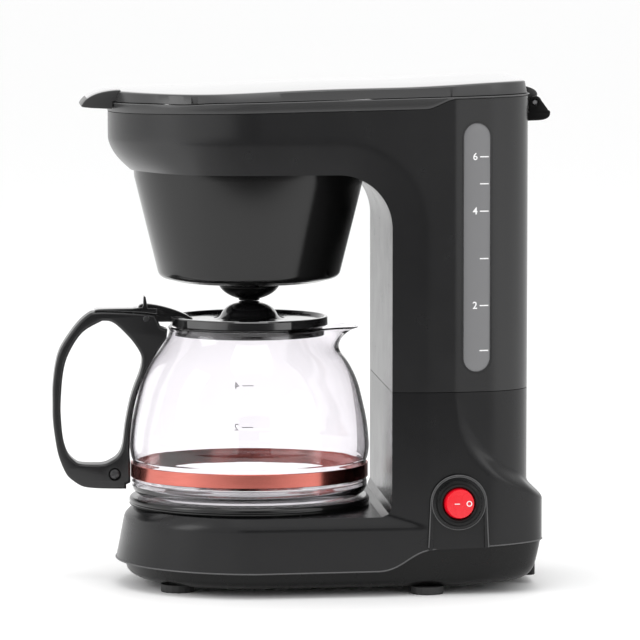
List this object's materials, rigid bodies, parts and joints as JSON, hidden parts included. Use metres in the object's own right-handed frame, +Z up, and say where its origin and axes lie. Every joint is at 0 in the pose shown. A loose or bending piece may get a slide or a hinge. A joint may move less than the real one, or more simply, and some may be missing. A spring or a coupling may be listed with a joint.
{
  "type": "drip coffee maker",
  "caption": "Drip coffee maker with a hinged top lid over tank and brew basket, a round hot plate and a lidded glass carafe with a loop handle.",
  "frame": {"origin": "middle of the whole part's box in plan, on the plane of the feet", "axes": "+Z up; the front of the machine, with the carafe's handle, faces -Y; the water gauge and the switch are on +X; the machine is symmetric about X = 0 but for those two"},
  "size_m": [0.1476, 0.261, 0.2657],
  "materials": {
    "black_gloss": "glossy injection-moulded black",
    "black_matte": "fine satin black",
    "steel": "plain",
    "aluminium": "mill finish",
    "coated_plate": "black non-stick coating",
    "copper_band": "polished, copper tinted",
    "rubber": "matt",
    "silicone": "satin",
    "glass": "clear",
    "gauge_plastic": "smoked, translucent",
    "red": "glossy translucent red"
  },
  "bodies": {
    "machine": {"base_housing": "black_gloss", "upper_housing": "black_gloss", "bottom_cover": "black_matte", "top_collar": "black_gloss", "hinge_bracket": "black_matte", "lid_pin": "steel", "gauge_window": "gauge_plastic", "hot_plate": "coated_plate", "heater_tube": "aluminium", "heater_clamp": "steel", "thermostat": "steel", "thermal_fuse": "silicone", "inlet_hose": "silicone", "riser_tube": "silicone", "check_valve_body": "silicone", "spray_head": "black_matte", "brew_funnel": "black_matte", "mesh_filter": "steel", "switch_bezel": "black_matte", "cord_gland": "rubber", "foot_1": "rubber", "cover_screw_1": "steel", "foot_2": "rubber", "cover_screw_2": "steel", "foot_3": "rubber", "cover_screw_3": "steel", "foot_4": "rubber", "cover_screw_4": "steel"},
    "lid": {"top_lid": "black_gloss"},
    "rocker": {"power_rocker": "red"},
    "valve": {"drip_valve": "silicone", "valve_spring": "steel"},
    "ball": {"check_ball": "steel"},
    "carafe": {"carafe_glass": "glass", "carafe_band": "copper_band", "carafe_handle": "black_gloss", "handle_screw": "steel", "carafe_lid": "black_gloss", "carafe_lid_pin": "steel"}
  },
  "joints": [
    {"name": "lid_hinge", "type": "hinge", "parent": "machine", "child": "lid", "pos_m": [0, 0.1225, 0.255], "axis": [-1, 0, 0], "range_deg": [0, 100]},
    {"name": "carafe_slide", "type": "slide", "parent": "machine", "child": "carafe", "axis": [0, -1, 0], "range_m": [0, 0.15]},
    {"name": "drip_valve_slide", "type": "slide", "parent": "machine", "child": "valve", "axis": [0, 0, 1], "range_m": [-0.003, 0], "deforming": ["valve_spring"]},
    {"name": "power_rocker_hinge", "type": "hinge", "parent": "machine", "child": "rocker", "pos_m": [0.0686, 0.078, 0.049], "axis": [0, 0, -1], "range_deg": [0, 22]},
    {"name": "check_ball_slide", "type": "slide", "parent": "machine", "child": "ball", "axis": [0, 0, 1], "range_m": [0, 0.002]}
  ],
  "couplings": [
    {"joint": "drip_valve_slide", "follows": "carafe_slide", "ratio": -0.02}
  ]
}
